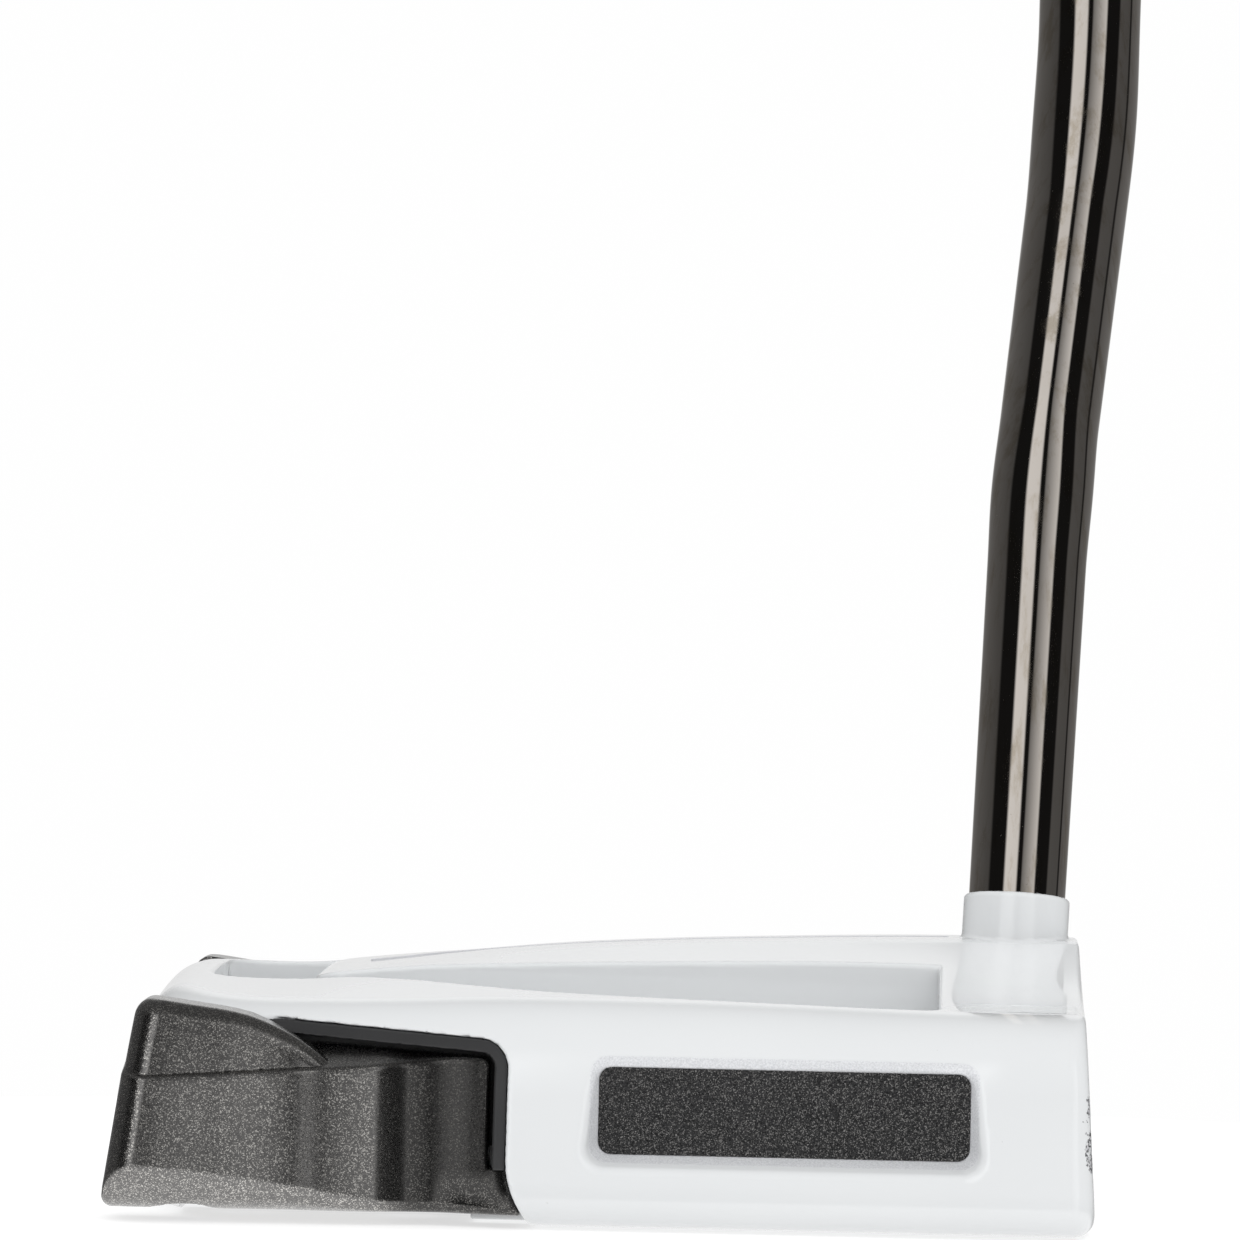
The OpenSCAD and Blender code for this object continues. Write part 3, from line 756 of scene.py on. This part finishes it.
PAINT = white_paint()
# The wings' front carries painted shade: its colour there is 0.36 of the rear's.
WING_PAINT = sparkle("black_sparkle", (0.175, 0.171, 0.168), (0.75, 0.73, 0.69),
                     share=0.3, lift=0.97, tilt_by=0.09, front_painted_shade=0.36)
INSERT_PAINT = sparkle("black_insert", (0.033, 0.033, 0.034), (0.45, 0.44, 0.43),
                       share=0.3, lift=0.8, tilt_by=0.34)
GASKET = moulded_black("gasket", (0.022, 0.022, 0.023), 0.42, 3.0, 0.25)
CHROME = dark_chrome()
RUBBER = grip_rubber()
CAP = moulded_black("cap_plastic", (0.02, 0.02, 0.021), 0.4, 2.0, 0.2)
FACE_METAL = machined("face_metal", (0.62, 0.62, 0.63), 0.34)
PLATE = machined("plate_steel", (0.58, 0.58, 0.6), 0.32, (3.0, 0.08, 3.0))
SCREW = machined("screw_steel", (0.5, 0.5, 0.52), 0.3, (2.0, 2.0, 2.0), 0.1)
WEIGHTS = machined("weight_steel", (0.45, 0.45, 0.47), 0.34, (2.0, 2.0, 2.0), 0.12)
LINE = matt("line_paint", (0.66, 0.665, 0.69), 1.2)
BOND = matt("bond", (0.72, 0.69, 0.58), 0.6)
TAPE = matt("tape", (0.7, 0.68, 0.62), 0.9)

# ---------------------------------------------------------------- pieces
FINE = 1.0  # how coarse the grids are, which are in (start, end, spacing) runs

head_axes = (ticks((-45.2, 47.2, 0.36 * FINE)),
             ticks((-51, -35, 0.29 * FINE), (-35, 35, 0.42 * FINE), (35, 51, 0.29 * FINE)),
             ticks((-0.8, 30.9, 0.29 * FINE)))
head_mesh = carve("head_body", head, head_axes, 190000)
place("head_casting", head_mesh, ["head_body"], PAINT)

wing_axes = (ticks((-47.2, -6.2, 0.25 * FINE)), ticks((27, 39.6, 0.5 * FINE), (39.6, 52.8, 0.23 * FINE)),
             ticks((0.2, 21.4, 0.25 * FINE)))
heel_wing = carve("heel_wing", wing, wing_axes, 120000)
toe_wing = mirrored(heel_wing, "toe_wing")
place("wing_heel", heel_wing, ["heel_wing"], WING_PAINT)
place("wing_toe", toe_wing, ["toe_wing"], WING_PAINT)

gasket_axes = (ticks((-40.5, -7.5, 0.22 * FINE)), ticks((40, 50.2, 0.22 * FINE)),
               ticks((4.6, 20.4, 0.22 * FINE)))
heel_gasket = carve("heel_gasket", gasket, gasket_axes, 60000)
toe_gasket = mirrored(heel_gasket, "toe_gasket")
place("gasket_heel", heel_gasket, ["heel_wing_gasket"], GASKET)
place("gasket_toe", toe_gasket, ["toe_wing_gasket"], GASKET)

centres, directions, radii, s3_start, s3_len = shaft_path()
place("shaft_tube", tube("shaft_tube", centres, directions, radii), ["shaft"], CHROME)
place("grip_sleeve", make_grip(s3_start, s3_len), ["grip"], RUBBER)
place("grip_end_cap", make_cap(s3_start, s3_len), ["grip_cap"], CAP)


def sight_line():
    """A painted strip that follows the ridge, a hair above it."""
    points = []
    xs = np.linspace(-24, 32, 80)
    for x in xs:
        z = float(ridge_z(np.array([x]))[0])
        for y, dz in ((-0.7, -0.2), (-0.7, 0.02), (0.7, 0.02), (0.7, -0.2)):
            points.append((x, y, z + dz))
    a = np.arange(len(xs) - 1) * 4
    quads = [np.stack([a + j, a + (j + 1) % 4, a + 4 + (j + 1) % 4, a + 4 + j], 1)[:, ::-1] for j in range(4)]
    ends = np.array([[0, 1, 2, 3], [len(points) - 1, len(points) - 2, len(points) - 3, len(points) - 4]])
    return mesh_from("sight_line", points, np.concatenate(quads + [ends]))


place("sight_line", sight_line(), ["sight_line_fill"], LINE).data.shade_flat()

KEPT = {"face_insert": FACE_METAL, "face_insert_bond": BOND,
        "toe_side_insert": INSERT_PAINT, "heel_side_insert": INSERT_PAINT,
        "toe_insert_bond": BOND, "heel_insert_bond": BOND,
        "toe_wing_weight": WEIGHTS, "heel_wing_weight": WEIGHTS, "wing_screws": SCREW,
        "sole_plate": PLATE, "sole_plate_screws": SCREW,
        "shaft_bond": BOND, "grip_tape": TAPE}
for node, look in KEPT.items():
    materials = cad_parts[node].data.materials
    materials.clear()
    materials.append(look)

# ---------------------------------------------------------------- floor, light and camera
FLOOR_R, FLOOR_Z, FLOOR_SIDES = 0.16, -0.0003, 96  # metres

# (degrees from the toe side, turning to the target; level), round an axis that leans with the shaft
PANELS = [(-180, 0.8), (-171, 0.75), (-163, 0.3), (-150, 0.17), (-120, 0.13), (-76, 0.085), (-70, 0.01),
          (-36, 0.01), (-31, 0.98), (-6, 0.95), (-2, 0.01), (6, 0.01), (9, 0.25), (38, 0.8), (42, 0.01),
          (71, 0.01), (75, 0.11), (104, 0.1), (106, 0.02), (110, 0.02), (113, 0.14), (150, 0.2), (163, 0.3),
          (171, 0.75), (180, 0.8)]
PANEL_TILT = math.radians(20)
PANEL_TOP = [(0.72, 1.0), (0.86, 0.0)]  # (height along that axis, share of the panels over the dim tent)
PANEL_LOW = [(-0.34, 0.0), (-0.2, 1.0)]  # (height, share of the panels over the bright ground)
# (0 straight down to 1 straight up, level)
SKY = [(0.0, 0.98), (0.5, 0.98), (0.62, 1.36), (0.82, 1.45), (1.0, 1.25)]
TENT, GROUND, BACKDROP = 0.14, 1.0, 0.995

EYE = (29.2, -1130.0, 74.1)  # millimetres
LENS = 337.99355  # millimetres, over a 36 mm sensor
AIM = (0.0266277, 0.0156331)  # how far the view turns to the rear and down, for each unit of depth
ROLL = math.radians(1.2)


def floor():
    """A round pale sheet that glows a little, so that the head's shadow stays faint."""
    turns = np.linspace(0, 2 * math.pi, FLOOR_SIDES + 1)[:-1]
    ring = [(FLOOR_R * math.cos(a), FLOOR_R * math.sin(a), FLOOR_Z) for a in turns]
    mesh = bpy.data.meshes.new("floor")
    mesh.from_pydata(ring, [], [list(range(FLOOR_SIDES))])
    look = Look("floor_white", (0.4, 0.4, 0.4), 0.9, Specular_IOR_Level=0.0)
    look.set("Base Color", look.mix(look.noise(0.01, 2.0), (0.395, 0.395, 0.395), (0.41, 0.41, 0.41)))
    look.set("Emission Color", (1, 1, 1, 1))
    look.set("Emission Strength", 0.64)
    mesh.materials.append(look.material)
    obj = bpy.data.objects.new("floor", mesh)
    bpy.context.scene.collection.objects.link(obj)
    obj.visible_glossy = False  # reflections see the studio's panels, and not the floor


def studio():
    """A soft white sky. Glossy surfaces see tall panels and black flags round the club, and a dim top."""
    world = bpy.data.worlds.new("studio")
    bpy.context.scene.world = world
    world.use_nodes = True
    world.cycles.sampling_method = "NONE"
    tree = world.node_tree
    tree.nodes.clear()

    def put(socket, value):
        if isinstance(value, bpy.types.NodeSocket):
            tree.links.new(value, socket)
        else:
            socket.default_value = value

    def calc(operation, *inputs):
        n = tree.nodes.new("ShaderNodeMath")
        n.operation = operation
        for i, value in enumerate(inputs):
            put(n.inputs[i], value)
        return n.outputs[0]

    def levels(value, stops):
        """A grey level that goes straight from stop to stop as the value goes from 0 to 1."""
        n = tree.nodes.new("ShaderNodeValToRGB")
        put(n.inputs[0], value)
        elements = n.color_ramp.elements
        elements.remove(elements[-1])
        for i, (at, level) in enumerate(stops):
            e = elements[0] if i == 0 else elements.new(at)
            e.position = at
            e.color = (level, level, level, 1)
        return n.outputs[0]

    def mix(factor, a, b):
        n = tree.nodes.new("ShaderNodeMix")
        n.data_type = "RGBA"
        for key, value in (("Factor", factor), ("A", a), ("B", b)):
            put(n.inputs[key], value)
        return n.outputs["Result"]

    where = tree.nodes.new("ShaderNodeTexCoord")
    split = tree.nodes.new("ShaderNodeSeparateXYZ")
    put(split.inputs[0], where.outputs["Generated"])
    x, y, z = split.outputs
    c, sn = math.cos(PANEL_TILT), math.sin(PANEL_TILT)
    toward = calc("SUBTRACT", calc("MULTIPLY", z, sn), calc("MULTIPLY", y, c))
    along = calc("ADD", calc("MULTIPLY", z, c), calc("MULTIPLY", y, sn))
    turn = calc("MULTIPLY_ADD", calc("ARCTAN2", x, toward), 0.5 / math.pi, 0.5)
    panels = levels(turn, [((degrees + 180) / 360, level) for degrees, level in PANELS])
    top = levels(calc("MULTIPLY_ADD", along, 0.5, 0.5), [(0.5 + 0.5 * s, v) for s, v in PANEL_TOP])
    low = levels(calc("MULTIPLY_ADD", z, 0.5, 0.5), [(0.5 + 0.5 * s, v) for s, v in PANEL_LOW])
    tent = (TENT, TENT, TENT, 1)
    glossy = mix(low, (GROUND, GROUND, GROUND, 1), mix(top, tent, panels))
    soft = levels(calc("MULTIPLY_ADD", z, 0.5, 0.5), SKY)
    seen = tree.nodes.new("ShaderNodeLightPath")
    light = mix(seen.outputs["Is Glossy Ray"], soft, glossy)
    light = mix(seen.outputs["Is Camera Ray"], light, (BACKDROP, BACKDROP, BACKDROP, 1))
    glow = tree.nodes.new("ShaderNodeBackground")
    put(glow.inputs["Color"], light)
    out = tree.nodes.new("ShaderNodeOutputWorld")
    put(out.inputs["Surface"], glow.outputs[0])


def camera():
    """The photograph's viewpoint: from the toe, a little above the head, with a long lens."""
    back = Vector((*AIM, -1.0)).normalized()
    right = Vector((math.cos(ROLL), -math.sin(ROLL), 0.0))
    right = (right - back * right.dot(back)).normalized()
    up = right.cross(back)
    to_camera = Matrix((right, back, up)).transposed()
    data = bpy.data.cameras.new("camera")
    data.sensor_width = 36.0
    data.lens = LENS
    data.clip_start, data.clip_end = 0.05, 20
    obj = bpy.data.objects.new("camera", data)
    bpy.context.scene.collection.objects.link(obj)
    obj.matrix_world = Matrix.Translation(Vector(EYE) * MM) @ to_camera.transposed().to_4x4()
    bpy.context.scene.camera = obj


floor()
studio()
camera()
bpy.context.scene.view_settings.view_transform = "Standard"
